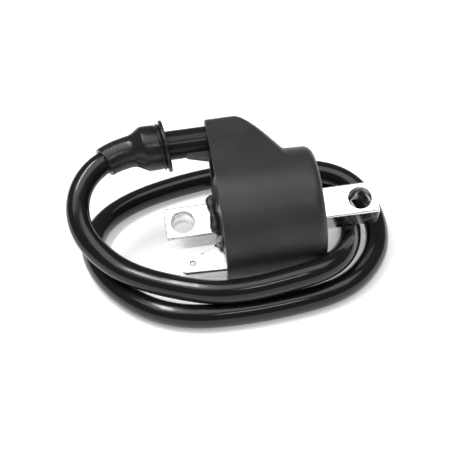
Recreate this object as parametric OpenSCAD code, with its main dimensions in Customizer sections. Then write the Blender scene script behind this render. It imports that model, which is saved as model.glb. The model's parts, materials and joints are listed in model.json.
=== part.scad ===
// Ignition coil for a small engine: a potted cup with a tower, a laminated core bar with two
// bolt holes, a push-on tab for the primary, and a booted high-tension lead coiled round it.
// Units are millimetres. The coil lies leaning back, as it rests inside its own coiled lead.

/* [Core] */
// Side of the square core bar
core_h = 9.5; // [9:0.5:10]
// Length of the core bar
core_len = 61; // [58:1:64]
// Distance between the two bolt holes
bolt_pitch = 51; // [49:0.5:52]
// Diameter of each bolt hole
bolt_d = 6.6; // [6:0.1:7]

/* [Housing] */
// Outer radius of the cup at its open mouth
mouth_r = 18.2; // [18.2:0.1:19]
// Outer radius of the cup at its closed end
end_r = 17.2; // [17.2:0.1:18]
// Place of the open mouth along the core
mouth_x = -15; // [-15.5:0.5:-15]
// Place of the closed end along the core
end_x = 14; // [14:0.5:15]
// Thickness of the cup's wall
wall = 1.8; // [1.5:0.1:1.8]
// Rounding of the closed end's outer edge
end_edge = 2.6; // [2:0.2:3]
// How far the cup's axis lies from the core's axis, towards the tower
cup_rise = 1.6; // [1.4:0.1:1.8]
// Radius of the tower's round ridge
tower_r = 6.2; // [6.2:0.1:6.6]

/* [High-tension outlet] */
// Distance of the outlet tube's axis from the core's axis
tube_rise = 26.4; // [26:0.2:26.8]
// Outer radius of the outlet tube
tube_r = 4.35; // [4.3:0.05:4.4]
// Place of the outlet tube's free end along the core
tube_tip = -33.5; // [-34:0.5:-33]
// Diameter of the high-tension lead
lead_d = 6.8; // [6.6:0.1:6.8]
// Diameter of the lead's stranded conductor
strand_d = 1.8; // [1.6:0.1:1.8]

/* [Primary tab] */
// Width of the push-on tab
tab_w = 6.3; // [6.3:0.1:6.4]
// Thickness of the tab's sheet
tab_t = 0.8; // [0.7:0.1:0.8]
// Place of the tab's tip along the core
tab_tip = -27.5; // [-28:0.5:-27]

/* [Pose] */
// How far the coil leans back from upright, in degrees
lean = 60; // [60:1:60]

/* [Hidden] */

$fn = 64;
half = core_h / 2;
joint_gap = 0.05;

// The coil's box is centred over the origin, and the cup's mouth rim rests on z = 0.
coil_x = -(tube_tip + core_len / 2) / 2;
cup_back = cup_rise * sin(lean) - mouth_r;
coil_y = -(tube_rise * sin(lean) + tower_r + cup_back) / 2;
coil_z = mouth_r - cup_rise * cos(lean);

// Tower: ridge to ridge_end, a rounded nose at nose_x, and a slope down to foot_x.
ridge_end = -9;
nose_x = -4.6;
nose_r = 4.9;
foot_x = 5.6;
slice = 0.4;

// Windings and formers, as half sides of square tubes or radii of round ones
wrap_t = 0.2;
former_in = half + wrap_t;
former_out = former_in + 0.8;
wire_half = former_out + 1.65;
tape_half = wire_half + 0.2;
sec_in = 9.8;
sec_tube = 10.6;
sec_wire = 12.9;
flange_r = 13.4;
stack_x = 12;
flange_t = 1.2;
sections = 5;
divider_t = 0.7;
sec_len = 2 * (stack_x - flange_t) - 0.2;
slot_w = (sec_len - (sections + 1) * divider_t) / sections;

// The former's end plate stands out of the resin on three sides of the core.
collar_x = -17.2;
collar_t = 2;
collar_half = 6.4;
former_x = collar_x + collar_t - 0.2;

// Resin: level just below the rim, with a low crown round the core
resin_level = mouth_x + 0.6;
crown_r = 15;
crown_h = 2.2;
crown_ball = (crown_r * crown_r + crown_h * crown_h) / (2 * crown_h);

// High-tension contact inside the tube's closed end
bore_end = -12.5;
contact_r = 1.8;
contact_tip = -11.5;
contact_end = -6;
tube_end = -5;
link_x = -sec_len / 2 + divider_t + slot_w / 2;
link_r = 0.4;

// Web under the root of the outlet tube
web_tip = -21.5;
web_drop = 1.9;
web_t = 3.4;

// Primary tab: centre line across the core, front face, and the folded lip's depth
tab_z = -11.4;
tab_face = -1;
tab_root = -12.4;
lip_depth = 5.4;
wire_r = 0.35;
wire_z = 6.6;
wire_y = -1.4;

// Boot over the tube's free end
boot_x = -26.9;
boot_lip_r = 7.4;
boot_r = 6.7;
boot_cone_x = -33.7;
boot_neck_x = -37;
boot_neck_r = 4.7;

lead_r = lead_d / 2;
strand_r = strand_d / 2;
ring_sides = 12;
tube_y = coil_y + tube_rise * sin(lean);
tube_z = coil_z + tube_rise * cos(lean);

// Route of the lead's centre line. It leaves the tube straight, bends down past the boot,
// runs once round the coil on top of its own outer turn, passes under the core bar and then
// lies on the surface, and ends behind the cup.
lead_exit = [for (x = [bore_end, -25, boot_neck_x + 0.5, boot_neck_x - 1.5]) [coil_x + x, tube_y, tube_z]];
lead_free = [
    [-40.6, 16.1, 29.9], [-43.8, 14.7, 29.5], [-46.9, 12.9, 28.8], [-50.2, 9.9, 27.3],
    [-52.5, 6.5, 25.1], [-53.7, 2.6, 22], [-53.2, -1.4, 18.7], [-51.4, -4.9, 15.8],
    [-48.3, -8.3, 13.3], [-44.6, -11.8, 11.4], [-40.2, -15.2, 10.4], [-35.1, -18.5, 9.9],
    [-30, -21.2, 9.6], [-24, -24.2, 9.6], [-18, -26.7, 9.8], [-11, -27.8, 10.1], [-4, -27.7, 10.4],
    [3, -27, 10.9], [9.5, -26.2, 11.4], [15.1, -23.7, 11], [19.2, -19.8, 10.4],
    [22.2, -13.8, 8.8], [24.2, -7, 6.8], [25.3, 0, 5.1], [25.4, 7, 4], [24.4, 14.6, 3.5],
    [21.4, 21.8, 3.5], [16.2, 28.2, 3.5], [8.5, 32.4, 3.5], [0, 34.2, 3.5], [-9, 34.5, 3.5],
    [-18, 33.5, 3.5], [-26, 31.7, 3.5], [-33.7, 29.2, 3.5], [-40.6, 25.7, 3.5], [-46.4, 20.9, 3.5],
    [-50.2, 14.8, 3.5], [-51.8, 7.7, 3.5], [-50.9, 0.8, 3.5], [-48.9, -5.4, 3.5],
    [-45.7, -11.7, 3.5], [-41.4, -17.7, 3.5], [-35.7, -23.2, 3.5], [-29, -27, 3.5],
    [-22, -29, 3.5], [-15, -29.6, 3.5], [-8, -29.7, 3.5], [-1, -29.3, 3.5], [6, -28.5, 3.5],
    [12, -27.4, 3.5], [17.4, -25.6, 3.5], [22.4, -22.6, 3.5], [27, -17.9, 3.5],
    [30.8, -11.8, 3.5], [33, -4.8, 3.6], [33.6, 2, 4.2], [32.3, 8.8, 6.2], [28.8, 14.6, 9.2],
    [22.4, 19, 11], [15, 22, 10.8], [7, 24, 9], [0, 25.4, 6], [-7, 26.2, 4],
    [-13, 26.6, 3.5]
];
lead_route = concat(lead_exit, lead_free);
// The bared strands reach past the jacket into the contact.
strand_route = concat([[coil_x - 8.5, tube_y, tube_z]], lead_route);
// The boot's sleeve follows the lead from inside the neck to its end.
sleeve_route = [for (i = [2:6]) lead_route[i]];

function unit(v) = v / norm(v);
function heading(path, i) =
    unit(path[min(i + 1, len(path) - 1)] - path[max(i - 1, 0)]);
function ring(path, i, r) =
    let (t = heading(path, i), side = unit(cross(t, [0, 0, 1])), top = cross(side, t))
    [for (j = [0:ring_sides - 1])
        let (a = 360 * j / ring_sides) path[i] + r * (cos(a) * side + sin(a) * top)];

// A round bar swept along a path, or a hollow one when r_in is above zero
module sweep(path, r_out, r_in) {
    n = ring_sides;
    last = len(path) - 1;
    hollow = r_in > 0;
    inner = (last + 1) * n;
    points = concat(
        [for (i = [0:last], p = ring(path, i, r_out)) p],
        hollow ? [for (i = [0:last], p = ring(path, i, r_in)) p] : []
    );
    outside = [for (i = [0:last - 1], j = [0:n - 1])
        let (k = (j + 1) % n) [i * n + j, i * n + k, (i + 1) * n + k, (i + 1) * n + j]];
    inside = [for (f = outside) [inner + f[0], inner + f[3], inner + f[2], inner + f[1]]];
    start = [for (j = [0:n - 1]) let (k = (j + 1) % n) [k, j, inner + j, inner + k]];
    end = [for (f = start) [for (m = [3:-1:0]) f[m] + last * n]];
    faces = hollow
        ? concat(outside, inside, start, end)
        : concat(outside, [[for (j = [n - 1:-1:0]) j]], [[for (j = [0:n - 1]) last * n + j]]);
    polyhedron(points, faces, convexity = 10);
}

// Puts a piece drawn round the core's centre, +Z towards the tower, where the coil lies.
module place() {
    translate([coil_x, coil_y, coil_z]) rotate([-lean, 0, 0]) children();
}

// A disc or round bar along X from x0 to x1, with its axis at height z
module bar_x(x0, x1, r, z = 0) {
    translate([x0, 0, z]) rotate([0, 90, 0]) cylinder(h = x1 - x0, r = r);
}

module square_bar(x0, x1, side_half) {
    translate([x0, -side_half, -side_half]) cube([x1 - x0, 2 * side_half, 2 * side_half]);
}

module rounded_bar(x0, x1, side_half, corner) {
    inner = side_half - corner;
    translate([x0, -inner, -side_half]) cube([x1 - x0, 2 * inner, 2 * side_half]);
    translate([x0, -side_half, -inner]) cube([x1 - x0, 2 * side_half, 2 * inner]);
    for (y = [-inner, inner], z = [-inner, inner]) translate([0, y, 0]) bar_x(x0, x1, corner, z);
}

// The cup's body of revolution, grown inwards by t: 0 is its outside, wall is its cavity
module cup_form(t, x0) {
    slope = (mouth_r - end_r) / (end_x - mouth_x);
    edge = end_edge - t / 2;
    x1 = end_x - t;
    r0 = mouth_r - t + slope * (mouth_x - x0);
    r1 = end_r - t;
    translate([0, 0, cup_rise]) rotate([0, 90, 0]) rotate_extrude() polygon(concat(
        [[0, x0], [r0, x0]],
        [for (a = [0:15:90]) [r1 - edge + edge * cos(a), x1 - edge + edge * sin(a)]],
        [[0, x1]]
    ));
}

// The tower, grown inwards by t
module tower_form(t, x0) {
    hull() {
        bar_x(x0, x0 + slice, mouth_r - t - 0.1, cup_rise, $fn = 48);
        bar_x(x0, ridge_end - t / 2, tower_r - t, tube_rise, $fn = 32);
        bar_x(ridge_end, nose_x - t / 2, nose_r - t, tube_rise, $fn = 32);
        bar_x(foot_x - slice - t, foot_x - t, end_r + 0.2 - t, cup_rise, $fn = 48);
    }
}

module housing_shell() {
    color([0.17, 0.17, 0.17]) place() difference() {
        union() {
            cup_form(0, mouth_x);
            tower_form(0, mouth_x);
        }
        union() {
            cup_form(wall, mouth_x - 1);
            tower_form(wall, mouth_x - 1);
            square_bar(end_x - 3, end_x + 1, half + joint_gap);
        }
    }
}

// Everything that the resin flows round
module potted_parts() {
    square_bar(-core_len / 2, core_len / 2, half);
    square_bar(former_x, 0, former_out);
    collar_plate();
    bar_x(-stack_x, stack_x, flange_r);
    outlet_form();
    tab_form();
    feed_wire_form();
    earth_wire_form();
    solder_form();
    translate([link_x, 0, sec_wire]) cylinder(h = tube_rise - sec_wire, r = link_r);
}

module potting_resin() {
    color([0.06, 0.06, 0.07]) place() difference() {
        union() {
            intersection() {
                union() {
                    cup_form(wall, mouth_x - 1);
                    tower_form(wall, mouth_x - 1);
                }
                translate([resin_level, -50, -50]) cube([50, 100, 100]);
            }
            intersection() {
                translate([resin_level - crown_h + crown_ball, 0, cup_rise]) sphere(r = crown_ball);
                bar_x(resin_level - crown_h, resin_level + 1, crown_r, cup_rise);
            }
        }
        potted_parts();
    }
}

module core_bar() {
    color([0.82, 0.83, 0.85]) place() difference() {
        square_bar(-core_len / 2, core_len / 2, half);
        for (x = [-bolt_pitch / 2, bolt_pitch / 2])
            translate([x, core_h, 0]) rotate([90, 0, 0]) cylinder(h = 2 * core_h, d = bolt_d);
    }
}

module core_wrap() {
    color([0.86, 0.62, 0.2]) place() difference() {
        square_bar(-stack_x - 1, stack_x - 0.2, former_in);
        square_bar(-core_len / 2, core_len / 2, half);
    }
}

module collar_plate() {
    translate([collar_x, -collar_half, -half])
        cube([collar_t, 2 * collar_half, half + collar_half]);
}

module primary_bobbin() {
    color([0.12, 0.12, 0.13]) place() difference() {
        union() {
            square_bar(former_x, stack_x, former_out);
            collar_plate();
            bar_x(-stack_x, -stack_x + flange_t, flange_r);
            bar_x(stack_x - flange_t, stack_x, flange_r);
        }
        square_bar(collar_x - 1, stack_x + 1, former_in);
        for (z = [-wire_z, wire_z])
            translate([0, wire_y, 0]) bar_x(-stack_x - 1, -stack_x + 2, wire_r + joint_gap, z);
        translate([-14.6, wire_y, 0]) cylinder(h = 8, r = 0.55);
    }
}

module primary_winding() {
    color([0.72, 0.38, 0.16]) place() difference() {
        rounded_bar(-stack_x + flange_t, stack_x - flange_t, wire_half, 2.5);
        square_bar(-stack_x, stack_x, former_out);
    }
}

module primary_tape() {
    color([0.9, 0.8, 0.4]) place() difference() {
        rounded_bar(-stack_x + flange_t, stack_x - flange_t, tape_half, 2.7);
        rounded_bar(-stack_x, stack_x, wire_half, 2.5);
    }
}

module secondary_bobbin() {
    color([0.88, 0.86, 0.8]) place() difference() {
        union() {
            bar_x(-sec_len / 2, sec_len / 2, sec_tube);
            for (i = [0:sections])
                let (x = -sec_len / 2 + i * (slot_w + divider_t)) bar_x(x, x + divider_t, flange_r);
        }
        bar_x(-stack_x, stack_x, sec_in);
    }
}

module secondary_winding(i) {
    x = -sec_len / 2 + divider_t + (i - 1) * (slot_w + divider_t);
    color([0.66, 0.3, 0.12]) place() difference() {
        bar_x(x, x + slot_w, sec_wire);
        bar_x(x - 1, x + slot_w + 1, sec_tube);
    }
}

module ht_contact() {
    color([0.8, 0.64, 0.3]) place() difference() {
        bar_x(contact_tip, contact_end, contact_r, tube_rise);
        bar_x(contact_tip - 1, contact_tip + 3.5, strand_r + joint_gap, tube_rise);
    }
}

module ht_link_wire() {
    color([0.72, 0.38, 0.16]) place() difference() {
        translate([link_x, 0, sec_wire]) cylinder(h = tube_rise - sec_wire, r = link_r);
        bar_x(contact_tip, contact_end, contact_r, tube_rise);
    }
}

module outlet_form() {
    bar_x(tube_tip, tube_end, tube_r, tube_rise);
    translate([0, web_t / 2, 0]) rotate([90, 0, 0]) linear_extrude(web_t) polygon([
        [web_tip, tube_rise - tube_r + 1],
        [web_tip, tube_rise - tube_r],
        [mouth_x, tube_rise - tube_r - web_drop],
        [mouth_x + 2.5, tube_rise - tube_r - web_drop],
        [mouth_x + 2.5, tube_rise - tube_r + 1]
    ]);
}

module ht_outlet_tube() {
    color([0.1, 0.1, 0.11]) place() difference() {
        outlet_form();
        bar_x(tube_tip - 1, bore_end, lead_r + joint_gap, tube_rise);
        bar_x(bore_end - 1, contact_end, contact_r, tube_rise);
        translate([link_x, 0, sec_wire]) cylinder(h = tube_rise - sec_wire, r = link_r);
    }
}

// Blade with clipped tip corners, and a lip folded back along its outer edge
module tab_form() {
    clip = 0.9;
    low = tab_z - tab_w / 2;
    high = tab_z + tab_w / 2;
    translate([0, tab_face + tab_t, 0]) rotate([90, 0, 0]) linear_extrude(tab_t) polygon([
        [tab_root, low], [tab_tip + clip, low], [tab_tip, low + clip],
        [tab_tip, high - clip], [tab_tip + clip, high], [tab_root, high]
    ]);
    translate([tab_tip + clip, tab_face, low]) cube([mouth_x - tab_tip - clip, lip_depth, tab_t]);
}

module spade_terminal() {
    notch_w = 1.3;
    color([0.85, 0.85, 0.86]) place() difference() {
        tab_form();
        translate([tab_tip + 3.2, 1, tab_z]) rotate([90, 0, 0]) cylinder(h = 4, r = 0.9);
        translate([-20.2, -2, tab_z + tab_w / 2 - 0.5]) cube([notch_w, 4, 1]);
    }
}

module solder_form() {
    translate([tab_root - 1.2, tab_face, tab_z]) rotate([90, 0, 0]) cylinder(h = 0.8, r = 0.9);
}

module spade_solder() {
    color([0.75, 0.76, 0.78]) place() difference() {
        solder_form();
        feed_wire_form();
    }
}

module feed_wire_form() {
    x = tab_root - 1.2;
    translate([0, wire_y, 0]) {
        bar_x(x, -stack_x + flange_t, wire_r, -wire_z);
        translate([x, 0, tab_z]) cylinder(h = -wire_z - tab_z, r = wire_r);
        translate([x, 0, -wire_z]) sphere(r = wire_r);
    }
}

module primary_feed_wire() {
    color([0.72, 0.38, 0.16]) place() feed_wire_form();
}

module earth_wire_form() {
    x = -14.6;
    foot = half + 0.4;
    translate([0, wire_y, 0]) {
        bar_x(x, -stack_x + flange_t, wire_r, wire_z);
        translate([x, 0, foot]) cylinder(h = wire_z - foot, r = wire_r);
        translate([x, 0, wire_z]) sphere(r = wire_r);
    }
}

module earth_wire() {
    color([0.72, 0.38, 0.16]) place() earth_wire_form();
}

module earth_solder() {
    color([0.75, 0.76, 0.78]) place()
        translate([-14.6, wire_y, half]) cylinder(h = 0.4, r = 0.5);
}

// Boot: a thin lip, a plain barrel, a cone down to a neck, and the sleeve along the lead
module rubber_boot() {
    fit_r = tube_r + joint_gap;
    lead_fit = lead_r + joint_gap;
    sleeve_fit = lead_r + 0.3;
    color([0.09, 0.09, 0.1]) union() {
        place() translate([0, 0, tube_rise]) rotate([0, 90, 0]) rotate_extrude() polygon([
            [fit_r, boot_x], [boot_lip_r - 0.3, boot_x], [boot_lip_r, boot_x - 0.3],
            [boot_lip_r, boot_x - 0.9], [boot_r - 0.4, boot_x - 1.2], [boot_r - 0.4, boot_x - 1.6],
            [boot_r, boot_x - 1.9], [boot_r, boot_cone_x], [boot_neck_r, boot_neck_x],
            [lead_fit, boot_neck_x], [lead_fit, tube_tip], [fit_r, tube_tip]
        ]);
        sweep(sleeve_route, boot_neck_r - 0.1, sleeve_fit);
    }
}

module ht_lead() {
    color([0.05, 0.06, 0.06]) sweep(lead_route, lead_r, strand_r + joint_gap);
}

module lead_conductor() {
    color([0.8, 0.45, 0.2]) sweep(strand_route, strand_r, 0);
}

housing_shell();
potting_resin();
core_bar();
core_wrap();
primary_bobbin();
primary_winding();
primary_tape();
secondary_bobbin();
secondary_winding(1);  // secondary_winding_1
secondary_winding(2);  // secondary_winding_2
secondary_winding(3);  // secondary_winding_3
secondary_winding(4);  // secondary_winding_4
secondary_winding(5);  // secondary_winding_5
ht_contact();
ht_link_wire();
ht_outlet_tube();
spade_terminal();
spade_solder();
primary_feed_wire();
earth_wire();
earth_solder();
rubber_boot();
ht_lead();
lead_conductor();
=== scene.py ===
# %% [markdown]
# # An ignition coil with its coiled high-tension lead
#
# The coil is a black cup full of resin, with a tower on one side. A square steel core
# passes through it, and its two drilled ends bolt to an engine. A heavy rubber-booted
# lead leaves the tower and lies coiled round the body.
#
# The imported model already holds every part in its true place. This script loads it, keeps
# the hidden inner parts as they are, and makes new skins for what is seen.

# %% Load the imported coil
import json
import bpy
import numpy as np
from mathutils import Matrix, Vector


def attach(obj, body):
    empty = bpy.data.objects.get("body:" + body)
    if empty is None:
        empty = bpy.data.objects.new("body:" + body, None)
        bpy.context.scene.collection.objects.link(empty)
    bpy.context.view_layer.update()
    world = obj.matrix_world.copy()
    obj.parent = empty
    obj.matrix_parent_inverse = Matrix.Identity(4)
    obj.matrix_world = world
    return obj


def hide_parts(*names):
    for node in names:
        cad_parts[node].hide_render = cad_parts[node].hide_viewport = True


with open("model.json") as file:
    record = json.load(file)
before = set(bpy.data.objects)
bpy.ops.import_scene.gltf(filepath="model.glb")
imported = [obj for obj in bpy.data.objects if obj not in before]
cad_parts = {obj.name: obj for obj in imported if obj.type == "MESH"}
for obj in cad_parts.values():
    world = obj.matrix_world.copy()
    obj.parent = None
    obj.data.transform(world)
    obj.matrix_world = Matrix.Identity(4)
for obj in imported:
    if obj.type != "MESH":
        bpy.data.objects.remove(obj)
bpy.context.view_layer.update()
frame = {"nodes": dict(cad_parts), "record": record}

# %% [markdown]
# Everything on the coil is easiest to describe along three directions of its own: **x**
# along the core, **t** from the core towards the tower, and **n** straight out of the
# drilled face. The coil lies leaning back, so t and n are tilted in the row's frame. The
# two bolt holes give the core's middle, and their shared axis gives n.

# %% The coil's own directions
MM = 0.001
mounts = {mount["name"]: mount for mount in frame["record"]["mounts"]}
hole_left = np.array(mounts["bolt_hole_left"]["pos_m"]) / MM
hole_right = np.array(mounts["bolt_hole_right"]["pos_m"]) / MM
core_middle = (hole_left + hole_right) / 2
out_dir = np.array(mounts["bolt_hole_left"]["axis"])
along_dir = np.array([1.0, 0.0, 0.0])
tower_dir = np.cross(out_dir, along_dir)


def coil_points(x, t, n):
    """Points at core_middle + x along + t tower + n out; x, t and n are arrays in mm."""
    x, t, n = np.broadcast_arrays(x, t, n)
    steps = x[..., None] * along_dir + t[..., None] * tower_dir + n[..., None] * out_dir
    return core_middle + steps


print("core middle", core_middle, "tower direction", tower_dir.round(3))

# %% [markdown]
# ## Camera
#
# The coil is seen from the front, a little to the left and well above, through a long
# lens, which keeps the lead's far strands nearly as thick as the near ones. Aiming the
# camera with `to_track_quat` keeps it level, so the small tilt is a turn about its own axis.

# %% Camera
eye = Vector((-28.61, -264.27, 226.98)) * MM
aim = Vector((0.0527, 0.7714, -0.6342))
tilt = np.radians(-5.42)
lens_data = bpy.data.cameras.new("camera")
lens_data.sensor_width = 36.0
lens_data.lens = 91.07
lens_data.clip_start = 0.01
lens_data.clip_end = 20.0
camera = bpy.data.objects.new("camera", lens_data)
bpy.context.scene.collection.objects.link(camera)
level = aim.to_track_quat("-Z", "Y").to_matrix().to_4x4()
camera.matrix_world = Matrix.Translation(eye) @ level @ Matrix.Rotation(tilt, 4, "Z")
bpy.context.scene.camera = camera
print("camera looks down by", round(float(np.degrees(np.arcsin(-aim.z))), 1), "degrees")

# %% [markdown]
# ## From a grid of points to a skin
#
# Nearly every piece here is a stack of closed rings: ring after ring of points, joined by
# four-sided faces. A loop over vertices would be slow, so the corner numbers of all faces
# are worked out at once from the grid's shape. The stack either closes on itself, as a
# hollow shell does, or gets a flat cap at each end. The same grid gives the texture map:
# u runs round a ring and v along the stack.

# %% Ring stacks
def ring_stack(name, rings, material, hollow=False, smooth=True):
    """A closed skin. Face (i, j) joins ring i to ring i + 1 between points j and j + 1,
    counted round the ring; a hollow stack also joins its last ring to its first."""
    rings = np.asarray(rings, float)
    rows, sides = rings.shape[:2]
    i = np.arange(rows if hollow else rows - 1)[:, None]
    j = np.arange(sides)[None, :]
    up, on = (i + 1) % rows, (j + 1) % sides
    quads = np.stack([i * sides + j, i * sides + on, up * sides + on, up * sides + j], -1)
    u0, u1 = j / sides + 0 * i, (j + 1) / sides + 0 * i
    v0, v1 = i / rows + 0 * j, (i + 1) / rows + 0 * j
    corner_uv = np.stack([u0, v0, u1, v0, u1, v1, u0, v1], -1).reshape(-1, 2)
    faces = quads.reshape(-1, 4).tolist()
    if not hollow:
        first = np.arange(sides)
        faces += [first[::-1].tolist(), (first + (rows - 1) * sides).tolist()]
        corner_uv = np.concatenate([corner_uv, np.zeros((2 * sides, 2))])
    mesh = bpy.data.meshes.new(name)
    mesh.from_pydata((rings.reshape(-1, 3) * MM).tolist(), [], faces)
    mesh.uv_layers.new(name="UVMap").uv.foreach_set("vector", corner_uv.ravel())
    mesh.polygons.foreach_set("use_smooth", np.full(len(faces), smooth))
    mesh.update()
    piece = bpy.data.objects.new(name, mesh)
    bpy.context.scene.collection.objects.link(piece)
    mesh.materials.append(material)
    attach(piece, "root")
    volume = signed_volume(mesh)
    if volume < 0:
        mesh.flip_normals()
    print(name, len(faces), "faces,", round(abs(volume) / MM**3, 1), "cubic mm")
    return piece


def signed_volume(mesh):
    """Sum over the triangles of a . (b x c) / 6, which is negative for an inside-out skin."""
    mesh.calc_loop_triangles()
    corners = np.empty(3 * len(mesh.loop_triangles), int)
    mesh.loop_triangles.foreach_get("vertices", corners)
    places = np.empty(3 * len(mesh.vertices))
    mesh.vertices.foreach_get("co", places)
    a, b, c = places.reshape(-1, 3)[corners.reshape(-1, 3)].transpose(1, 0, 2)
    return float((a * np.cross(b, c)).sum() / 6)


def crease(piece, degrees):
    """Keeps edges sharper than this crisp while the rest stays smooth."""
    piece.data.set_sharp_from_angle(angle=np.radians(degrees))


# %% [markdown]
# ## Materials
#
# Each finish is a Principled shader with a small node network in front. Patterns read
# Object coordinates, which stay fixed to the piece. `noise`, `ramp` and `bump` below are
# short forms of the nodes that all finishes share.

# %% Small node helpers
def finish(name, color, roughness, metallic=0.0, coat=0.0, coat_roughness=0.1, specular=0.5):
    """A new Principled material and its node tree; plain numbers sit on the shader itself."""
    material = bpy.data.materials.new(name)
    material.use_nodes = True
    shader = material.node_tree.nodes["Principled BSDF"]
    shader.inputs["Base Color"].default_value = (*color, 1.0)
    shader.inputs["Roughness"].default_value = roughness
    shader.inputs["Metallic"].default_value = metallic
    shader.inputs["Coat Weight"].default_value = coat
    shader.inputs["Coat Roughness"].default_value = coat_roughness
    shader.inputs["Specular IOR Level"].default_value = specular
    return material


def node(material, kind, **values):
    made = material.node_tree.nodes.new(kind)
    for key, value in values.items():
        setattr(made, key, value)
    return made


def join(material, start, end):
    material.node_tree.links.new(start, end)


def noise(material, scale, detail=4.0, stretch=(1.0, 1.0, 1.0)):
    """Noise on Object coordinates, stretched by a Mapping node; scale counts per metre."""
    coordinates = node(material, "ShaderNodeTexCoord")
    mapping = node(material, "ShaderNodeMapping")
    mapping.inputs["Scale"].default_value = stretch
    texture = node(material, "ShaderNodeTexNoise")
    texture.inputs["Scale"].default_value = scale
    texture.inputs["Detail"].default_value = detail
    join(material, coordinates.outputs["Object"], mapping.inputs["Vector"])
    join(material, mapping.outputs["Vector"], texture.inputs["Vector"])
    return texture.outputs["Fac"]


def ramp(material, fac, low, high, start=0.35, end=0.65):
    """Blends from low to high as fac goes from start to end."""
    blend = node(material, "ShaderNodeValToRGB")
    blend.color_ramp.elements[0].position = start
    blend.color_ramp.elements[1].position = end
    blend.color_ramp.elements[0].color = (*low, 1.0)
    blend.color_ramp.elements[1].color = (*high, 1.0)
    join(material, fac, blend.inputs["Fac"])
    return blend.outputs["Color"]


def shader_of(material):
    return material.node_tree.nodes["Principled BSDF"]


def bump(material, height, strength, depth_mm, before=None):
    """Turns a height pattern into tiny relief; before is an earlier bump to build on."""
    relief = node(material, "ShaderNodeBump")
    relief.inputs["Strength"].default_value = strength
    relief.inputs["Distance"].default_value = depth_mm * MM
    join(material, height, relief.inputs["Height"])
    if before is not None:
        join(material, before, relief.inputs["Normal"])
    join(material, relief.outputs["Normal"], shader_of(material).inputs["Normal"])
    return relief.outputs["Normal"]


def vary(material, fac, socket, low, high, start=0.35, end=0.65):
    """Feeds a blend of two colours or two grey levels into one of the shader's sockets."""
    low = (low,) * 3 if np.isscalar(low) else low
    high = (high,) * 3 if np.isscalar(high) else high
    join(material, ramp(material, fac, low, high, start, end), shader_of(material).inputs[socket])


# %% [markdown]
# The cup is moulded in a dark plastic with a fine spark-eroded grain, so it shows broad
# soft highlights and no sharp ones. Two sizes of noise make the grain; a third, very
# large one lets the tone drift a little, as handled plastic does.

# %% Housing plastic
housing_plastic = finish("housing_plastic", (0.026, 0.026, 0.0265), 0.42, specular=0.3)
drift = noise(housing_plastic, 60.0, 3.0)
vary(housing_plastic, drift, "Base Color", (0.023, 0.023, 0.0235), (0.031, 0.0305, 0.031))
vary(housing_plastic, noise(housing_plastic, 180.0, 3.0), "Roughness", 0.36, 0.48)
grain = bump(housing_plastic, noise(housing_plastic, 9000.0, 2.0), 0.35, 0.03)
bump(housing_plastic, noise(housing_plastic, 2600.0, 3.0), 0.2, 0.04, grain)

# %% [markdown]
# The resin was poured and then set, so its face has a dull shine and is never quite flat.
# Its reflections are kept weak, and slow noise bends them. The epoxy round the core was
# smeared on by hand, so it is mottled and grainy.

# %% Potting resin and epoxy
potting_resin = finish("potting_resin", (0.008, 0.008, 0.009), 0.4, specular=0.09)
flow = bump(potting_resin, noise(potting_resin, 420.0, 3.0), 0.35, 0.25)
bump(potting_resin, noise(potting_resin, 2400.0, 4.0), 0.25, 0.05, flow)


def epoxy_finish(name, dark, light):
    """Hand-mixed epoxy: mottled, with a grainy skin."""
    material = finish(name, light, 0.4, specular=0.35)
    vary(material, noise(material, 900.0, 4.0), "Base Color", dark, light)
    bump(material, noise(material, 1300.0, 5.0), 0.7, 0.25)
    return material


epoxy = epoxy_finish("epoxy", (0.004, 0.004, 0.004), (0.022, 0.022, 0.018))
grey_epoxy = epoxy_finish("grey_epoxy", (0.1, 0.1, 0.095), (0.4, 0.4, 0.38))

# %% [markdown]
# The core is a stack of steel sheets ground to size. Its drilled faces are single sheets
# and shine like dull mirrors. Its narrow sides show the stack's edges as fine lines along
# the bar, which a wave pattern across the stack draws as relief and as darker joints, one
# every millimetre.

# %% Core steel
line_gap = 1.0
core_steel = finish("core_steel", (0.74, 0.745, 0.73), 0.22, metallic=1.0)
stack_tilt = float(np.arctan2(-out_dir[1], out_dir[2]))


def sheet_lines(material, lines_per_metre):
    """A sine wave across the stack; its coordinate is Object turned to lie along n. At a
    scale of 1 the wave's bands repeat every 2 pi / 20 of a metre."""
    coordinates = node(material, "ShaderNodeTexCoord")
    mapping = node(material, "ShaderNodeMapping", vector_type="TEXTURE")
    mapping.inputs["Location"].default_value = tuple(core_middle * MM)
    mapping.inputs["Rotation"].default_value = (stack_tilt, 0.0, 0.0)
    wave = node(material, "ShaderNodeTexWave", bands_direction="Z")
    wave.inputs["Scale"].default_value = lines_per_metre * 2 * np.pi / 20
    wave.inputs["Distortion"].default_value = 0.4
    wave.inputs["Detail Scale"].default_value = 2.0
    join(material, coordinates.outputs["Object"], mapping.inputs["Vector"])
    join(material, mapping.outputs["Vector"], wave.inputs["Vector"])
    return wave.outputs["Fac"]


lines = sheet_lines(core_steel, 1 / (line_gap * MM))
vary(core_steel, lines, "Base Color", (0.6, 0.615, 0.59), (0.92, 0.93, 0.91), 0.0, 0.3)
scratches = bump(core_steel, noise(core_steel, 900.0, 3.0, (0.15, 3.0, 3.0)), 0.12, 0.03)
bump(core_steel, lines, 0.15, 0.03, scratches)
vary(core_steel, noise(core_steel, 300.0, 5.0), "Roughness", 0.16, 0.3)

tinned_sheet = finish("tinned_sheet", (0.83, 0.83, 0.82), 0.3, metallic=1.0)
vary(tinned_sheet, noise(tinned_sheet, 1500.0, 4.0), "Roughness", 0.26, 0.4)
bump(tinned_sheet, noise(tinned_sheet, 700.0, 3.0, (0.3, 2.0, 2.0)), 0.08, 0.02)

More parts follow.
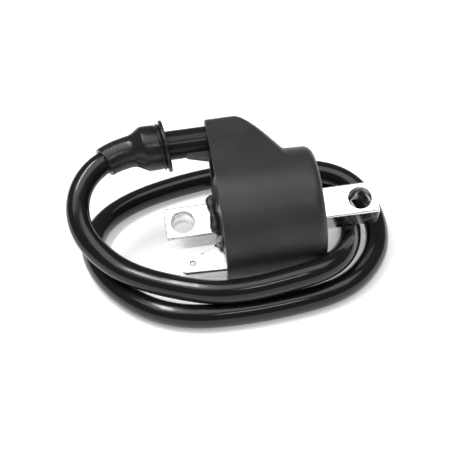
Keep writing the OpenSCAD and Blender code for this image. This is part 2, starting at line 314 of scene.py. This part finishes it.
# %% [markdown]
# The lead's jacket is smooth and glossy, the boot is moulded rubber with a satin skin, and
# the tube between them is hard plastic. All are near black, so what tells them apart is
# how sharp their highlights are. A trace of green in the jacket is its own colour.

# %% Black rubbers and plastics
lead_jacket = finish("lead_jacket", (0.006, 0.0075, 0.007), 0.2, coat=0.15, coat_roughness=0.08,
                     specular=0.3)
vary(lead_jacket, noise(lead_jacket, 350.0, 4.0), "Roughness", 0.12, 0.2)
waves = bump(lead_jacket, noise(lead_jacket, 160.0, 2.0), 0.1, 0.4)
bump(lead_jacket, noise(lead_jacket, 3200.0, 3.0), 0.12, 0.02, waves)

boot_rubber = finish("boot_rubber", (0.009, 0.009, 0.0095), 0.3, specular=0.35)
vary(boot_rubber, noise(boot_rubber, 500.0, 4.0), "Roughness", 0.22, 0.36)
bump(boot_rubber, noise(boot_rubber, 4200.0, 3.0), 0.2, 0.03)

tube_plastic = finish("tube_plastic", (0.01, 0.01, 0.0105), 0.22, specular=0.2)
vary(tube_plastic, noise(tube_plastic, 700.0, 3.0), "Roughness", 0.17, 0.27)
bump(tube_plastic, noise(tube_plastic, 3000.0, 2.0), 0.12, 0.02)

former_plastic = finish("former_plastic", (0.014, 0.014, 0.0145), 0.36, specular=0.3)
vary(former_plastic, noise(former_plastic, 800.0, 4.0), "Roughness", 0.28, 0.46)
bump(former_plastic, noise(former_plastic, 2500.0, 3.0), 0.2, 0.03)

# %% [markdown]
# The sealed parts are not seen, but each keeps its true finish: enamelled copper, ivory
# and amber films, brass and solder.

# %% Finishes of the sealed parts
magnet_wire = finish("magnet_wire", (0.6, 0.24, 0.09), 0.3, metallic=1.0, coat=0.4)
bump(magnet_wire, noise(magnet_wire, 900.0, 1.0, (8.0, 0.3, 0.3)), 0.4, 0.1)
wrap_film = finish("wrap_film", (0.6, 0.33, 0.07), 0.35)
vary(wrap_film, noise(wrap_film, 400.0), "Base Color", (0.5, 0.26, 0.05), (0.66, 0.38, 0.09))
tape = finish("tape", (0.75, 0.6, 0.15), 0.4)
vary(tape, noise(tape, 400.0), "Base Color", (0.66, 0.5, 0.11), (0.8, 0.65, 0.2))
secondary_former_plastic = finish("secondary_former_plastic", (0.7, 0.66, 0.55), 0.45)
vary(secondary_former_plastic, noise(secondary_former_plastic, 300.0), "Roughness", 0.38, 0.52)
contact_brass = finish("contact_brass", (0.72, 0.52, 0.22), 0.28, metallic=1.0)
bump(contact_brass, noise(contact_brass, 1500.0, 2.0, (6.0, 0.5, 0.5)), 0.2, 0.03)
solder = finish("solder", (0.6, 0.6, 0.61), 0.35, metallic=1.0)
bump(solder, noise(solder, 1200.0, 4.0), 0.4, 0.08)
conductor_copper = finish("conductor_copper", (0.72, 0.36, 0.18), 0.3, metallic=1.0)
vary(conductor_copper, noise(conductor_copper, 900.0), "Base Color", (0.55, 0.24, 0.1), (0.8, 0.42, 0.22))

finishes = {
    "housing_plastic": housing_plastic, "potting_resin": potting_resin,
    "core_steel": core_steel, "wrap_film": wrap_film, "former_plastic": former_plastic,
    "secondary_former_plastic": secondary_former_plastic, "magnet_wire": magnet_wire,
    "tape": tape, "contact_brass": contact_brass, "tube_plastic": tube_plastic,
    "tinned_sheet": tinned_sheet, "solder": solder, "boot_rubber": boot_rubber,
    "lead_jacket": lead_jacket, "conductor_copper": conductor_copper,
}
for row in frame["record"]["subparts"]:
    part = frame["nodes"][row["node"]]
    part.data.materials.clear()
    part.data.materials.append(finishes[row["material_slot"]])
print(len(frame["nodes"]), "parts have their finish")

# %% [markdown]
# ## The high-tension lead
#
# The lead is stiff, about 7 mm thick, and wants to keep the shape of the coil it was
# shipped in. It leaves the outlet tube through the boot, bends down past the left side,
# runs once round the body on top of its own outer turn, passes under the core, and lies
# twice round on the table before its cut end comes to rest behind the cup. Its route is a
# short list of points, the same as the solid's; a Catmull-Rom curve joins them smoothly.

# %% Route of the lead
lead_d = 6.8
tube_tip, tube_rise = -33.5, 26.4
tube_mouth = coil_points(tube_tip, tube_rise, 0.0)
straight_end = coil_points(-38.5, tube_rise, 0.0)
route = np.vstack([
    tube_mouth, coil_points(-36.5, tube_rise, 0.0), straight_end,
    (-40.6, 16.1, 29.9), (-43.8, 14.7, 29.5), (-46.9, 12.9, 28.8), (-50.2, 9.9, 27.3),
    (-52.5, 6.5, 25.1), (-53.7, 2.6, 22), (-53.2, -1.4, 18.7), (-51.4, -4.9, 15.8),
    (-48.3, -8.3, 13.3), (-44.6, -11.8, 11.4), (-40.2, -15.2, 10.4), (-35.1, -18.5, 9.9),
    (-30, -21.2, 9.6), (-24, -24.2, 9.6), (-18, -26.7, 9.8), (-11, -27.8, 10.1), (-4, -27.7, 10.4),
    (3, -27, 10.9), (9.5, -26.2, 11.4), (15.1, -23.7, 11), (19.2, -19.8, 10.4),
    (22.2, -13.8, 8.8), (24.2, -7, 6.8), (25.3, 0, 5.1), (25.4, 7, 4), (24.4, 14.6, 3.5),
    (21.4, 21.8, 3.5), (16.2, 28.2, 3.5), (8.5, 32.4, 3.5), (0, 34.2, 3.5), (-9, 34.5, 3.5),
    (-18, 33.5, 3.5), (-26, 31.7, 3.5), (-33.7, 29.2, 3.5), (-40.6, 25.7, 3.5), (-46.4, 20.9, 3.5),
    (-50.2, 14.8, 3.5), (-51.8, 7.7, 3.5), (-50.9, 0.8, 3.5), (-48.9, -5.4, 3.5),
    (-45.7, -11.7, 3.5), (-41.4, -17.7, 3.5), (-35.7, -23.2, 3.5), (-29, -27, 3.5),
    (-22, -29, 3.5), (-15, -29.6, 3.5), (-8, -29.7, 3.5), (-1, -29.3, 3.5), (6, -28.5, 3.5),
    (12, -27.4, 3.5), (17.4, -25.6, 3.5), (22.4, -22.6, 3.5), (27, -17.9, 3.5),
    (30.8, -11.8, 3.5), (33, -4.8, 3.6), (33.6, 2, 4.2), (32.3, 8.8, 6.2), (28.8, 14.6, 9.2),
    (22.4, 19, 11), (15, 22, 10.8), (7, 24, 9), (0, 25.4, 6), (-7, 26.2, 4),
    (-13, 26.6, 3.5),
])


def catmull_rom(points, steps):
    """Each gap p1-p2 is filled by (2 p1 + (p2-p0) u + (2p0-5p1+4p2-p3) u2
    + (3p1-p0-3p2+p3) u3) / 2, with u from 0 to 1, for all gaps at once."""
    padded = np.vstack([2 * points[0] - points[1], points, 2 * points[-1] - points[-2]])
    p0, p1, p2, p3 = (padded[k:len(padded) - 3 + k, None] for k in range(4))
    u = (np.arange(steps) / steps)[None, :, None]
    curve = 2 * p1 + (p2 - p0) * u + (2 * p0 - 5 * p1 + 4 * p2 - p3) * u**2
    curve = (curve + (3 * p1 - p0 - 3 * p2 + p3) * u**3) / 2
    return np.vstack([curve.reshape(-1, 3), points[-1]])


def lengths_along(path):
    """Distance from the path's start to each of its points."""
    return np.concatenate([[0.0], np.cumsum(np.linalg.norm(np.diff(path, axis=0), axis=1))])


def evenly(path, gap):
    """The same path with its points an equal distance apart."""
    run = lengths_along(path)
    stations = np.linspace(0, run[-1], int(round(run[-1] / gap)) + 1)
    return np.stack([np.interp(stations, run, path[:, k]) for k in range(3)], 1)


def relaxed(path, passes):
    """Each inner point moves half way to the mean of its neighbours, passes times over."""
    for _ in range(passes):
        middle = (path[:-2] + path[2:]) / 2
        path = np.vstack([path[:1], (path[1:-1] + middle) / 2, path[-1:]])
    return path


lead_path = relaxed(evenly(catmull_rom(route, 8), 1.0), 12)

# %% [markdown]
# A tube along a path needs a pair of directions across it at every point. Taking one of
# them level and the other as near upright as it can be keeps the tube from twisting, and
# works here because the lead never runs straight up or down.

# %% Tubes along a path
def across(path):
    """Unit directions across the path: side = heading x up, and top = side x heading."""
    heading = np.gradient(path, axis=0)
    heading /= np.linalg.norm(heading, axis=1, keepdims=True)
    side = np.cross(heading, (0.0, 0.0, 1.0))
    side /= np.linalg.norm(side, axis=1, keepdims=True)
    return side, np.cross(side, heading)


def tube_rings(path, radii, sides):
    """Ring k is path[k] + radii[k] (cos a side + sin a top), with a once round the circle."""
    side, top = across(path)
    a = (np.arange(sides) / sides * 2 * np.pi)[None, :, None]
    spokes = np.cos(a) * side[:, None] + np.sin(a) * top[:, None]
    return path[:, None] + np.reshape(radii, (-1, 1, 1)) * spokes


lead_radii = np.full(len(lead_path), lead_d / 2)
lead_piece = ring_stack("lead_skin", tube_rings(lead_path, lead_radii, 40), lead_jacket)
crease(lead_piece, 50)
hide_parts("ht_lead")

# %% [markdown]
# ## Boot
#
# The boot is one rubber moulding: a thin double lip, a plain barrel that grips the tube, a
# cone, and a snug sleeve that follows the lead round the start of its bend. It is turned
# like a pot, except that its axis is the lead's own path. The outline is a list of
# (distance along, radius) corners, rounded by cutting each corner three times. The bend
# pulls the lip a little askew, so its rings slide along the tube as they rise above it.

# %% Boot outline carried along the lead
def cut_corners(outline, passes):
    """Chaikin's rule: each edge keeps its points at one quarter and three quarters."""
    for _ in range(passes):
        a, b = outline[:-1], outline[1:]
        mixed = np.stack([0.75 * a + 0.25 * b, 0.25 * a + 0.75 * b], 1).reshape(-1, 2)
        outline = np.vstack([outline[:1], mixed, outline[-1:]])
    return outline


boot_start = -26.9
boot_axis = np.vstack([coil_points(np.linspace(boot_start, tube_tip - 0.5, 10), tube_rise, 0.0),
                       lead_path[lengths_along(lead_path) > 1.0]])
boot_axis = relaxed(evenly(boot_axis, 0.5), 30)
boot_run = lengths_along(boot_axis)
sleeve_end = 19.2
outside = cut_corners(np.array([
    (0.0, 4.45), (0.0, 7.1), (0.0, 7.75), (0.4, 7.8), (1.0, 7.75), (1.1, 7.2), (1.15, 6.6),
    (1.35, 6.45), (1.5, 6.95), (2.0, 7.0), (2.2, 6.5), (2.5, 6.64), (4.4, 6.75), (6.5, 6.75),
    (7.0, 6.6), (9.7, 4.95), (10.4, 4.75), (12.0, 4.65), (15.5, 4.6), (18.5, 4.5),
    (19.0, 4.5), (sleeve_end, 4.3), (sleeve_end, 3.5),
]), 3)
inside = np.array([(19.0, 3.42), (12.0, 3.42), (7.0, 3.42), (6.6, 4.4), (3.0, 4.4), (0.3, 4.4)])
boot_outline = np.vstack([outside, inside])
centres = np.stack([np.interp(boot_outline[:, 0], boot_run, boot_axis[:, k]) for k in range(3)], 1)
station_side, station_top = across(boot_axis)
side_at = np.stack([np.interp(boot_outline[:, 0], boot_run, station_side[:, k]) for k in range(3)], 1)
top_at = np.stack([np.interp(boot_outline[:, 0], boot_run, station_top[:, k]) for k in range(3)], 1)
turn = (np.arange(64) / 64 * 2 * np.pi)[None, :, None]
boot_rings = centres[:, None] + boot_outline[:, 1, None, None] * (
    np.cos(turn) * side_at[:, None] + np.sin(turn) * top_at[:, None])
slant, slant_end, slant_fade = 0.11, 13.0, 6.0
slide = slant * np.clip((slant_end - boot_outline[:, 0]) / slant_fade, 0, 1)[:, None]
above_axis = (boot_rings - centres[:, None]) @ tower_dir
boot_rings = boot_rings - (slide * above_axis)[..., None] * along_dir
boot_piece = ring_stack("boot_skin", boot_rings, boot_rubber, hollow=True)
crease(boot_piece, 60)
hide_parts("rubber_boot")

# %% [markdown]
# The lead's cut end shows its stranded conductor. Six wires twist round a middle one, so
# each outer wire's path is a circle round the lead's path, turning as it goes. The wires
# end a hair past the jacket's flat cap, so that they show.

# %% Strands at the cut end
strand_r = 0.29
lay_length = 14.0
proud = 0.05
stub = lead_path[-9:]
stub = np.vstack([stub, stub[-1] + proud * (stub[-1] - stub[-2])])
stub_run = lengths_along(stub)
stub_side, stub_top = across(stub)
for wire in range(7):
    spin = (wire * np.pi / 3 + stub_run / lay_length * 2 * np.pi)[:, None]
    lay_r = 0.0 if wire == 6 else 2 * strand_r + 0.01
    wire_path = stub + lay_r * (np.cos(spin) * stub_side + np.sin(spin) * stub_top)
    strand = ring_stack(f"strand_{wire + 1}", tube_rings(wire_path, np.full(len(stub), strand_r), 12),
                        conductor_copper)
    if wire == 6:
        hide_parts("lead_conductor")

# %% [markdown]
# ## Housing
#
# Cut across the core, the cup and its tower look like a teardrop: a large circle and a
# small one with straight lines between. Each ring of the skin is that outline, found from
# the two circles' common tangents. Towards the closed end the small circle slides down
# and grows until it melts into the large one, which draws the tower's sloping back.

# %% Outline of the cup and tower
mouth_x, end_x = -15.0, 14.0
mouth_r, end_r = 18.2, 17.2
cup_rise, wall = 1.6, 1.8
ridge_r, slope_start, slope_foot = 6.2, -6.6, 5.7
ease = 4.0


def cup_radius(x):
    """The cup narrows evenly from its mouth to its closed end."""
    return mouth_r + (end_r - mouth_r) * (x - mouth_x) / (end_x - mouth_x)


def merged(x):
    """How far the ridge has fallen, 0 to 1: a slope that eases in, then is cut off softly."""
    d = np.maximum(x - slope_start, 0)
    fallen = d - ease * (1 - np.exp(-d / ease))
    reach = slope_foot - slope_start
    share = fallen / (reach - ease * (1 - np.exp(-reach / ease)))
    soft = 0.025
    return -soft * np.log(np.exp(-share / soft) + np.exp(-1 / soft))


def teardrop(x, inset):
    """(t, n) of closed outlines at stations x. The ridge circle's arc comes first, then a
    straight side, the cup circle's arc, and the other side."""
    x = np.asarray(x, float)[:, None]
    inset = np.broadcast_to(np.asarray(inset, float).reshape(-1, 1), x.shape)
    big = cup_radius(x)
    share = np.clip(merged(x), 0, 1)
    small = ridge_r + (big - ridge_r) * share
    centre = tube_rise + (cup_rise - tube_rise) * share
    touch = np.arccos((big - ridge_r) / (tube_rise - cup_rise))
    arc, straight, belly = 14, 16, 40
    ridge_a = touch * np.linspace(-1, 1, 2 * arc, endpoint=False)
    cup_a = touch + (2 * np.pi - 2 * touch) * np.linspace(0, 1, 2 * belly, endpoint=False)
    rs, rb = small - inset, big - inset
    k = np.linspace(0, 1, straight, endpoint=False)
    t_ridge, n_ridge = centre + rs * np.cos(ridge_a), rs * np.sin(ridge_a)
    t_cup, n_cup = cup_rise + rb * np.cos(cup_a), rb * np.sin(cup_a)
    start_t, start_n = centre + rs * np.cos(touch), rs * np.sin(touch)
    end_t, end_n = cup_rise + rb * np.cos(touch), rb * np.sin(touch)
    down_t, down_n = start_t + (end_t - start_t) * k, start_n + (end_n - start_n) * k
    back_t, back_n = end_t + (start_t - end_t) * k, -end_n + (-start_n + end_n) * k
    return (np.concatenate([t_ridge, down_t, t_cup, back_t], 1),
            np.concatenate([n_ridge, down_n, n_cup, back_n], 1))


def square_ring(t, n, half, power):
    """The same points pulled on to a rounded square round the core: along its own bearing
    from the core's axis, each lies where |t|^p + |n|^p = half^p, with p the power."""
    size = (np.abs(t) ** power + np.abs(n) ** power) ** (1 / power)
    return t * half / size, n * half / size


# %% [markdown]
# The rows of the shell run out of the cup and back in again: over the rim's rounded lip,
# along the outside, round the soft edge of the closed end, across the end to the square
# hole that the core passes through, and back along the inside. The last row joins the
# first, so the shell is one closed solid wall.

# %% Housing shell
core_half = 4.75
end_edge, lip = 2.6, 0.45
hole_gap, hole_power = 0.05, 24
quarter = np.linspace(0, np.pi / 2, 7)
lip_x = mouth_x + lip - lip * np.sin(quarter)
body_x = np.concatenate([np.linspace(mouth_x + lip, slope_start - 0.5, 8),
                         np.linspace(slope_start, slope_foot + 2.5, 34),
                         np.linspace(slope_foot + 3, end_x - end_edge, 4)])
edge_x = end_x - end_edge + end_edge * np.sin(quarter[1:])
inner_x = np.linspace(end_x - wall - 0.01, mouth_x + lip, 30)
outer_x = np.concatenate([lip_x[::-1], body_x[1:], edge_x])
outer_inset = np.concatenate([lip * (1 - np.cos(quarter[::-1])), np.zeros(len(body_x) - 1),
                              end_edge * (1 - np.cos(quarter[1:]))])
outer_t, outer_n = teardrop(outer_x, outer_inset)
hole_from_t, hole_from_n = outer_t[-1:], outer_n[-1:]
hole_t, hole_n = square_ring(hole_from_t, hole_from_n, core_half + hole_gap, hole_power)
mix = np.array([0.2, 0.45, 0.7, 0.9, 0.97])[:, None]
face_t = hole_from_t + (hole_t - hole_from_t) * mix
face_n = hole_from_n + (hole_n - hole_from_n) * mix
inner_t, inner_n = teardrop(inner_x, np.full(len(inner_x), wall))
rim_t, rim_n = teardrop(lip_x[1:], wall - lip * (1 - np.cos(quarter[1:])))
rows_x = np.concatenate([outer_x, np.full(len(mix), end_x), [end_x - 0.15, end_x - wall - 0.01],
                         inner_x, lip_x[1:]])
rows_t = np.concatenate([outer_t, face_t, hole_t, hole_t, inner_t, rim_t])
rows_n = np.concatenate([outer_n, face_n, hole_n, hole_n, inner_n, rim_n])
housing_piece = ring_stack("housing_skin", coil_points(rows_x[:, None], rows_t, rows_n),
                           housing_plastic, hollow=True)
crease(housing_piece, 38)
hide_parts("housing_shell")

# %% [markdown]
# ## Resin
#
# The resin stands level just inside the rim, creeps up where it wets the wall, crowns up
# round the core, and lies lower inside the tower, where it was poured last. Its face is a
# height over the mouth's outline; behind it a short skirt runs back into the cup.

# %% Resin face
level_x = mouth_x + 0.6
skirt_depth = 6.0
heart_t = 0.6


def resin_height(t, n, from_wall):
    """How far the face stands out: a crown round the core, a creep at the wall that dies
    away in 0.8 mm, a hollow in the tower, and slow waves."""
    from_core = np.hypot(t - cup_rise, n)
    crown = 2.7 * np.exp(-(from_core / 10.0) ** 2)
    creep = 0.35 * np.exp(-from_wall / 0.8)
    hollow = 1.7 / (1 + np.exp(-(t - 14.0) / 1.6))
    waves = 0.14 * np.sin(0.9 * t + 0.7 * n + 0.6) + 0.1 * np.sin(1.7 * n - 1.1 * t)
    return crown + creep - hollow + waves * np.minimum(from_wall, 1)


share = np.concatenate([[0.0, 0.02, 0.05, 0.1, 0.16], np.linspace(0.22, 0.97, 22)])[:, None]
wall_t, wall_n = teardrop([level_x], [wall - 0.03])
face_t = wall_t + (heart_t - wall_t) * share
face_n = wall_n - wall_n * share
gap = np.hypot(face_t - wall_t, face_n - wall_n)
face_x = level_x - resin_height(face_t, face_n, gap)
skirt_x = np.full((1, face_x.shape[1]), level_x + skirt_depth)
resin_piece = ring_stack("resin_face", np.concatenate([
    coil_points(skirt_x, wall_t, wall_n), coil_points(face_x, face_t, face_n)]), potting_resin)
crease(resin_piece, 60)
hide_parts("potting_resin")

# %% [markdown]
# ## Core bar
#
# The bar's long edges are rounded by grinding, and its bolt holes are drilled and lightly
# countersunk. The bar is a stack of square rings, each with four quarter circles for its
# corners; a Boolean with two flared round cutters drills it, and the cutters are deleted.

# %% Core bar with its bolt holes
def drilled(piece, cutters):
    """The piece with every cutter taken out of it, as a plain mesh without modifiers."""
    for cutter in cutters:
        hole = piece.modifiers.new("hole", "BOOLEAN")
        hole.operation = "DIFFERENCE"
        hole.solver = "MANIFOLD"
        hole.object = cutter
    result = piece.evaluated_get(bpy.context.evaluated_depsgraph_get())
    finished = bpy.data.meshes.new_from_object(result)
    piece.modifiers.clear()
    plain, piece.data = piece.data, finished
    finished.name = plain.name
    bpy.data.meshes.remove(plain)
    for cutter in cutters:
        bpy.data.meshes.remove(cutter.data)
    print(piece.name, "drilled:", round(signed_volume(finished) / MM**3, 1), "cubic mm")
    return piece


def flared_cutter(x, t, radius, flare, n_low, n_high):
    """A round cutter along n whose radius grows by flare over the last flare at each end."""
    n = np.array([n_low - 1, n_low, n_low + flare, n_high - flare, n_high, n_high + 1])
    radii = np.array([radius + flare] * 2 + [radius] * 2 + [radius + flare] * 2)
    a = np.arange(56) / 56 * 2 * np.pi
    rings = coil_points(x + radii[:, None] * np.cos(a), t + radii[:, None] * np.sin(a), n[:, None])
    return ring_stack("cutter", rings, core_steel)


core_len, edge_r, bolt_r = 61.0, 0.6, 3.3
chamfer, bolt_flare = 0.2, 0.2
bolt_x = float(hole_right[0] - hole_left[0]) / 2
corner_a = (np.arange(4)[:, None] * np.pi / 2 + np.linspace(0, np.pi / 2, 7)[None, :]).ravel()
quadrant = (np.repeat(np.arange(4), 7) + 0.5) * np.pi / 2
to_centre = (core_half - edge_r) * np.sqrt(2)
bar_t = to_centre * np.cos(quadrant) + edge_r * np.cos(corner_a)
bar_n = to_centre * np.sin(quadrant) + edge_r * np.sin(corner_a)
bar_x = np.array([-core_len / 2, -core_len / 2 + chamfer, core_len / 2 - chamfer, core_len / 2])
bar_size = 1 - np.array([chamfer, 0.0, 0.0, chamfer]) / core_half
core_piece = ring_stack("core_skin", coil_points(bar_x[:, None], bar_size[:, None] * bar_t,
                                                 bar_size[:, None] * bar_n), core_steel, smooth=False)
drilled(core_piece, [flared_cutter(x, 0.0, bolt_r, bolt_flare, -core_half, core_half)
                     for x in (-bolt_x, bolt_x)])
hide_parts("core_bar")

# %% [markdown]
# ## Push-on tab
#
# The tab is stamped from tinned sheet, 6.3 mm wide, with a folded lip along its outer
# edge that stiffens it. Its section is an L with a rounded bend: a centre line with half
# the sheet's thickness on each side. Its width tapers from 108 percent of that at its root
# to 95 percent at its tip. The tip's corners are clipped by pulling the section in, and the
# locating hole and the small notch are cut like the bolt holes.

# %% Tab
sheet, tab_w, lip_depth, bend_r = 0.8, 6.3, 5.4, 0.45
tab_t, tab_n, tab_tip, tab_root = -11.4, 0.6, -27.5, -11.0
locating_x, locating_r, locating_flare = tab_tip + 3.2, 0.7, 0.3
notch_x, notch_r, notch_flare = -19.6, 0.5, 0.1
tab_high, tab_low = tab_t + tab_w / 2, tab_t - tab_w / 2
bend = np.linspace(0, np.pi / 2, 7)
line_t = np.concatenate([[tab_high, tab_high - 0.3], tab_low + sheet / 2 + bend_r * (1 - np.sin(bend)),
                         [tab_low + sheet / 2, tab_low + sheet / 2]])
line_n = np.concatenate([[tab_n, tab_n], tab_n - bend_r * (1 - np.cos(bend)),
                         [tab_n - lip_depth + sheet, tab_n - lip_depth + sheet / 2]])
run_t, run_n = np.gradient(line_t), np.gradient(line_n)
size = np.hypot(run_t, run_n)
off_t, off_n = -run_n / size * sheet / 2, run_t / size * sheet / 2
section_t = np.concatenate([line_t + off_t, (line_t - off_t)[::-1]])
section_n = np.concatenate([line_n + off_n, (line_n - off_n)[::-1]])
clip = np.array([0.9, 0.45, 0.0, 0.0])[:, None]
tab_x = np.array([tab_tip, tab_tip + 0.45, tab_tip + 0.9, tab_root])[:, None]
taper = np.array([0.95, 0.96, 0.97, 1.08])[:, None]
clipped_t = np.clip(section_t[None, :], tab_low + clip, tab_high - clip)
tab_rings_t = tab_high + (clipped_t - tab_high) * taper
tab_piece = ring_stack("tab_skin", coil_points(tab_x, tab_rings_t, section_n[None, :]),
                       tinned_sheet)
back_n, front_n = tab_n - sheet / 2, tab_n + sheet / 2
drilled(tab_piece, [flared_cutter(locating_x, tab_t, locating_r, locating_flare, back_n, front_n),
                    flared_cutter(notch_x, tab_high + 0.1, notch_r, notch_flare, back_n, front_n)])
crease(tab_piece, 35)
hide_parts("spade_terminal")

# %% [markdown]
# ## Epoxy round the core
#
# Where the core leaves the former's collar, a rough band of black epoxy was smeared on by
# hand. It is a ring of clay-like section round the square bar, whose thickness wanders. On
# the tab's side it is thinner and sits further in. A greyer dab fills the corner between
# the bar and the tab: an ellipsoid with lumps on it.

# %% Epoxy band and dab
around = np.arange(120) / 120 * 2 * np.pi
band_middle, band_size, band_stretch = -16.7, 1.15, 1.15
under_edge, under_blur, under_thinning, under_shift = 0.62, 0.05, 0.6, 1.2
band_t, band_n = square_ring(np.cos(around), np.sin(around), core_half + 1.0, 10)
section = np.arange(20) / 20 * 2 * np.pi
lumps = 1.0 + 0.16 * np.sin(3 * around + 0.5) + 0.1 * np.sin(7 * around + 2.0)
lumps = lumps + 0.07 * np.sin(13 * around)
band_r = band_size * lumps[None, :] * (1 + 0.1 * np.sin(5 * around[None, :] + 2 * section[:, None]))
underside = 1 / (1 + np.exp((np.cos(around) + under_edge) / under_blur))
band_r = band_r * (1 - under_thinning * underside)
reach = 1 + band_r * np.cos(section)[:, None] / np.hypot(band_t, band_n)[None, :]
band_x = band_middle + under_shift * underside[None, :]
band_x = band_x - band_stretch * band_r * np.sin(section)[:, None]
band_piece = ring_stack("epoxy_band", coil_points(band_x, band_t * reach, band_n * reach), epoxy,
                        hollow=True)

down = np.linspace(0.05, np.pi - 0.05, 24)[:, None]
dab_r = 1 + (0.1 * np.sin(3 * around + 2 * down) + 0.05 * np.sin(5 * around - 3 * down)) * np.sin(down)
dab_x = -15.6 - 1.4 * dab_r * np.cos(down)
dab_t = -6.7 + 2.0 * dab_r * np.sin(down) * np.cos(around)
dab_n = 2.9 + 2.8 * dab_r * np.sin(down) * np.sin(around)
dab_piece = ring_stack("epoxy_dab", coil_points(dab_x, dab_t, dab_n), grey_epoxy)

# %% [markdown]
# ## Floor and light
#
# The coil lies on a plain white sheet under a wide dim lamp, which lights the sheet and the
# steel but leaves black things black. A small bright lamp at the left draws the long thin
# highlights on the lead, and a narrow strip in front draws the band across the cup. The
# sheet's glow is painted light, for the sheet is no lamp: it lifts the shadows so that they
# stay pale and the undersides of the black parts are not lost. The painted glow is stronger
# far from the coil, where the lamps no longer reach: a spherical gradient falls from 1 at
# the middle to 0 at one metre.

# %% Floor
floor_with_painted_glow = finish("floor_with_painted_glow", (0.9, 0.9, 0.91), 0.9, specular=0.1)
vary(floor_with_painted_glow, noise(floor_with_painted_glow, 4.0), "Base Color", (0.89, 0.89, 0.9), (0.91, 0.91, 0.92))
# Emission: a painted glow on the sheet, which is no lamp, that lifts its shadows
shader_of(floor_with_painted_glow).inputs["Emission Color"].default_value = (0.97, 0.97, 1.0, 1.0)
coordinates = node(floor_with_painted_glow, "ShaderNodeTexCoord")
nearness = node(floor_with_painted_glow, "ShaderNodeTexGradient", gradient_type="SPHERICAL")
join(floor_with_painted_glow, coordinates.outputs["Object"], nearness.inputs["Vector"])
# Painted glow strength: 0.32 near the coil, rising to 0.8 far from it where the lamps fade
vary(floor_with_painted_glow, nearness.outputs["Fac"], "Emission Strength", 0.8, 0.32, 0.3, 0.8)
floor_mesh = bpy.data.meshes.new("floor")
reach_m = 6.0
corners = [(x * reach_m, y * reach_m, 0) for x, y in ((-1, -1), (1, -1), (1, 1), (-1, 1))]
floor_mesh.from_pydata(corners, [], [(0, 1, 2, 3)])
floor_mesh.materials.append(floor_with_painted_glow)
floor = bpy.data.objects.new("floor", floor_mesh)
bpy.context.scene.collection.objects.link(floor)

# %% Light
world = bpy.data.worlds.new("pale_room")
world.use_nodes = True
world.node_tree.nodes["Background"].inputs["Color"].default_value = (0.97, 0.97, 1.0, 1.0)
world.node_tree.nodes["Background"].inputs["Strength"].default_value = 0.18
bpy.context.scene.world = world


def soft_lamp(name, place_mm, target_mm, size_mm, watts):
    """A rectangular white lamp at place that faces target; sizes and places in millimetres."""
    lamp_data = bpy.data.lights.new(name, "AREA")
    lamp_data.shape = "RECTANGLE"
    lamp_data.size, lamp_data.size_y = size_mm[0] * MM, size_mm[1] * MM
    lamp_data.energy = watts
    lamp = bpy.data.objects.new(name, lamp_data)
    bpy.context.scene.collection.objects.link(lamp)
    facing = Vector(target_mm) - Vector(place_mm)
    turned = facing.to_track_quat("-Z", "Y").to_matrix().to_4x4()
    lamp.matrix_world = Matrix.Translation(Vector(place_mm) * MM) @ turned


soft_lamp("overhead", (0, -50, 620), (0, 0, 0), (1100, 420), 3.8)
soft_lamp("key", (-230, 90, 600), (0, 0, 0), (340, 70), 1.9)
soft_lamp("front_strip", (55, -330, 420), (0, 0, 10), (220, 30), 0.35)
bpy.context.scene.view_settings.view_transform = "Standard"
print("lamps ready")
